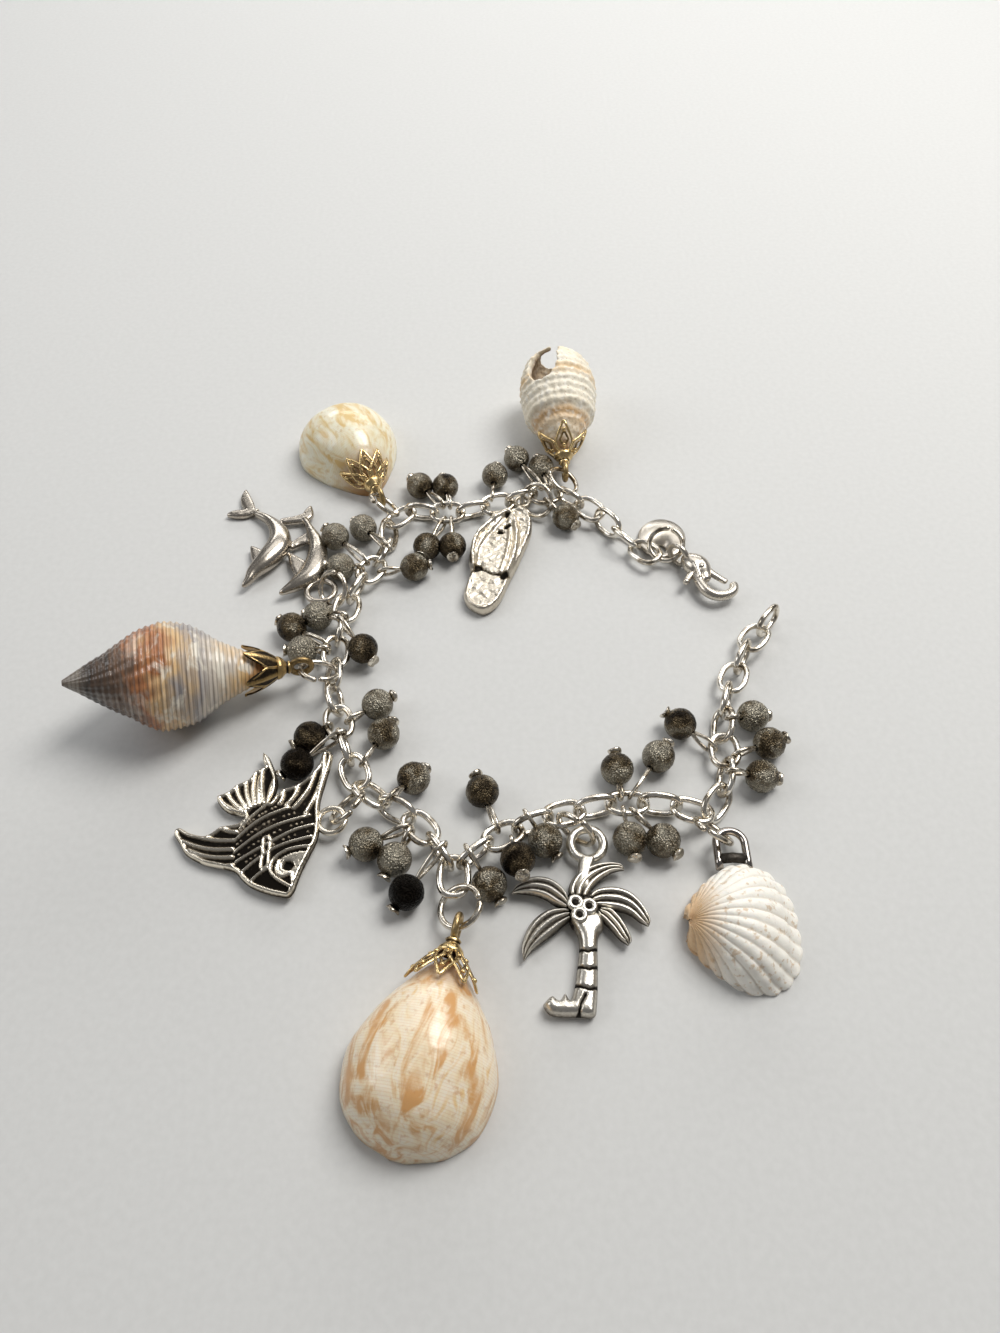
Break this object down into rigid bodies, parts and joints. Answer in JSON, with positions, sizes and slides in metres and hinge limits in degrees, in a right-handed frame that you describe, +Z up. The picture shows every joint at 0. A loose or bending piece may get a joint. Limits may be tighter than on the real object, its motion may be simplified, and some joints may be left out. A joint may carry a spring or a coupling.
{
  "type": "charm bracelet",
  "caption": "Open cable-chain charm bracelet with bunches of rough beads, capped sea shells, cast seaside charms, an oval tag and a lobster clasp.",
  "frame": {"origin": "below the middle of the whole bracelet, on the surface that it lies on", "axes": "+Z up from the surface, +X to the right and +Y away from the viewer as it lies in the picture"},
  "size_m": [0.0912, 0.118, 0.0133],
  "materials": {
    "bright_silver": "polished silver plate with a warm tint",
    "satin_silver": "satin silver plate, dark in its corners",
    "stardust_silver": "coarse sparkling texture, champagne silver",
    "cast_pewter": "antiqued cast pewter, bright on its ridges and dark in its grooves",
    "aged_brass": "dark patina with gold on its edges",
    "cream_shell": "polished natural shell, cream with ochre streaks",
    "banded_shell": "polished natural shell, brown, orange and blue-grey bands",
    "white_shell": "matt ribbed natural shell with tan spots"
  },
  "bodies": {
    "root": {"chain_left": "bright_silver", "chain_right": "bright_silver", "bead_1_1": "stardust_silver", "bead_1_2": "stardust_silver", "bead_1_3": "stardust_silver", "bead_1_4": "stardust_silver", "bead_2_1": "stardust_silver", "bead_2_2": "stardust_silver", "bead_2_3": "stardust_silver", "bead_2_4": "stardust_silver", "bead_3_1": "stardust_silver", "bead_3_2": "stardust_silver", "bead_3_3": "stardust_silver", "bead_3_4": "stardust_silver", "bead_4_1": "stardust_silver", "bead_4_2": "stardust_silver", "bead_4_3": "stardust_silver", "bead_4_4": "stardust_silver", "bead_5_1": "stardust_silver", "bead_5_2": "stardust_silver", "bead_5_3": "stardust_silver", "bead_5_4": "stardust_silver", "bead_6_1": "stardust_silver", "bead_6_2": "stardust_silver", "bead_6_3": "stardust_silver", "bead_6_4": "stardust_silver", "bead_7_1": "stardust_silver", "bead_7_2": "stardust_silver", "bead_7_3": "stardust_silver", "bead_7_4": "stardust_silver", "bead_8_1": "stardust_silver", "bead_8_2": "stardust_silver", "bead_8_3": "stardust_silver", "bead_8_4": "stardust_silver", "bead_9_1": "stardust_silver", "bead_9_2": "stardust_silver", "bead_9_3": "stardust_silver", "bead_9_4": "stardust_silver", "clasp_body": "satin_silver", "tag": "satin_silver", "flip_flop": "cast_pewter", "dolphins": "cast_pewter", "angelfish": "cast_pewter", "palm_tree": "cast_pewter", "cockle_shell": "white_shell", "cockle_bail": "satin_silver", "horn_shell": "cream_shell", "horn_cap": "aged_brass", "whelk_shell": "banded_shell", "whelk_cap": "aged_brass", "small_dome_shell": "cream_shell", "small_dome_cap": "aged_brass", "big_dome_shell": "cream_shell", "big_dome_cap": "aged_brass"},
    "lever": {"clasp_lever": "satin_silver"}
  },
  "joints": [
    {"name": "clasp_lever_pivot", "type": "hinge", "parent": "root", "child": "lever", "pos_m": [0.03574, 0.01708, 0.00173], "axis": [0.024, -0.026, 0.9994], "range_deg": [-18, 0], "stiffness_Nm_per_rad": 0.0005, "springref_deg": 5.73}
  ]
}
